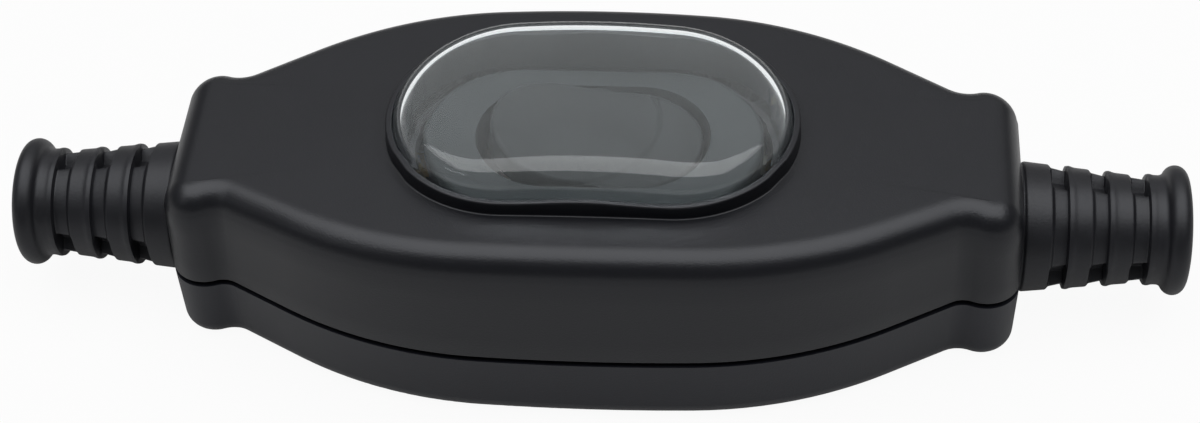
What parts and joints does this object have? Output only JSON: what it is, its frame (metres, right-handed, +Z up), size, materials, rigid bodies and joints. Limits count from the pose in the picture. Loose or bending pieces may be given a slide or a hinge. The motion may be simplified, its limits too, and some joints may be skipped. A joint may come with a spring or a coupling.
{
  "type": "inline cord switch",
  "caption": "Splash-proof rocker switch for the middle of a cord: oval two-shell housing, clear cap, ribbed cable boot at each end.",
  "frame": {"origin": "middle of the housing's flat underside, which rests on the floor", "axes": "+X along the cord toward the outgoing cable, +Z up through the clear cap"},
  "size_m": [0.1378, 0.0452, 0.0314],
  "materials": {
    "housing_black": "fine matt grain",
    "clear_cap": "clear soft plastic, glossy",
    "inner_black": "plain",
    "steel": "zinc plated",
    "seal_rubber": "matt",
    "rocker_grey": "fine grain",
    "frame_grey": "satin",
    "block_plastic": "plain",
    "plunger_plastic": "plain",
    "brass": "plain",
    "boot_rubber": "matt"
  },
  "bodies": {
    "housing": {"base_shell": "housing_black", "cover_shell": "housing_black", "membrane_cap": "clear_cap", "cap_clamp_frame": "inner_black", "cap_clamp_screws": "steel", "seal_front": "seal_rubber", "seal_rear": "seal_rubber", "housing_screws": "steel", "rocker_frame": "frame_grey", "contact_block": "block_plastic", "switch_body_screws": "steel", "terminal_screws": "steel", "earth_terminal": "brass", "earth_screws": "steel", "cord_clamp_right": "block_plastic", "cord_clamp_left": "block_plastic", "cord_clamp_screws": "steel", "cable_boot_right": "boot_rubber", "cable_boot_left": "boot_rubber", "centre_terminal_front": "brass", "outer_terminal_front": "brass", "centre_terminal_rear": "brass", "outer_terminal_rear": "brass"},
    "rocker": {"rocker": "rocker_grey"},
    "plunger_front": {"plunger_front": "plunger_plastic", "plunger_spring_front": "steel"},
    "bridge_front": {"contact_bridge_front": "brass"},
    "plunger_rear": {"plunger_rear": "plunger_plastic", "plunger_spring_rear": "steel"},
    "bridge_rear": {"contact_bridge_rear": "brass"}
  },
  "joints": [
    {"name": "rocker_tilt", "type": "hinge", "parent": "housing", "child": "rocker", "pos_m": [0, 0, 0.0204], "axis": [0, -1, 0], "range_deg": [0, 16]},
    {"name": "plunger_front_slide", "type": "slide", "parent": "rocker", "child": "plunger_front", "axis": [0.1392, 0, 0.9903], "range_m": [0, 0.0008], "stiffness_N_per_m": 400, "springref_m": -0.0012, "deforming": ["plunger_spring_front"]},
    {"name": "bridge_front_tilt", "type": "hinge", "parent": "housing", "child": "bridge_front", "pos_m": [0, -0.0044, 0.0104], "axis": [0, 1, 0], "range_deg": [0, 16]},
    {"name": "plunger_rear_slide", "type": "slide", "parent": "rocker", "child": "plunger_rear", "axis": [0.1392, 0, 0.9903], "range_m": [0, 0.0008], "stiffness_N_per_m": 400, "springref_m": -0.0012, "deforming": ["plunger_spring_rear"]},
    {"name": "bridge_rear_tilt", "type": "hinge", "parent": "housing", "child": "bridge_rear", "pos_m": [0, 0.0044, 0.0104], "axis": [0, 1, 0], "range_deg": [0, 16]}
  ],
  "couplings": [
    {"joint": "bridge_front_tilt", "follows": "rocker_tilt", "ratio": 1},
    {"joint": "bridge_rear_tilt", "follows": "rocker_tilt", "ratio": 1}
  ]
}
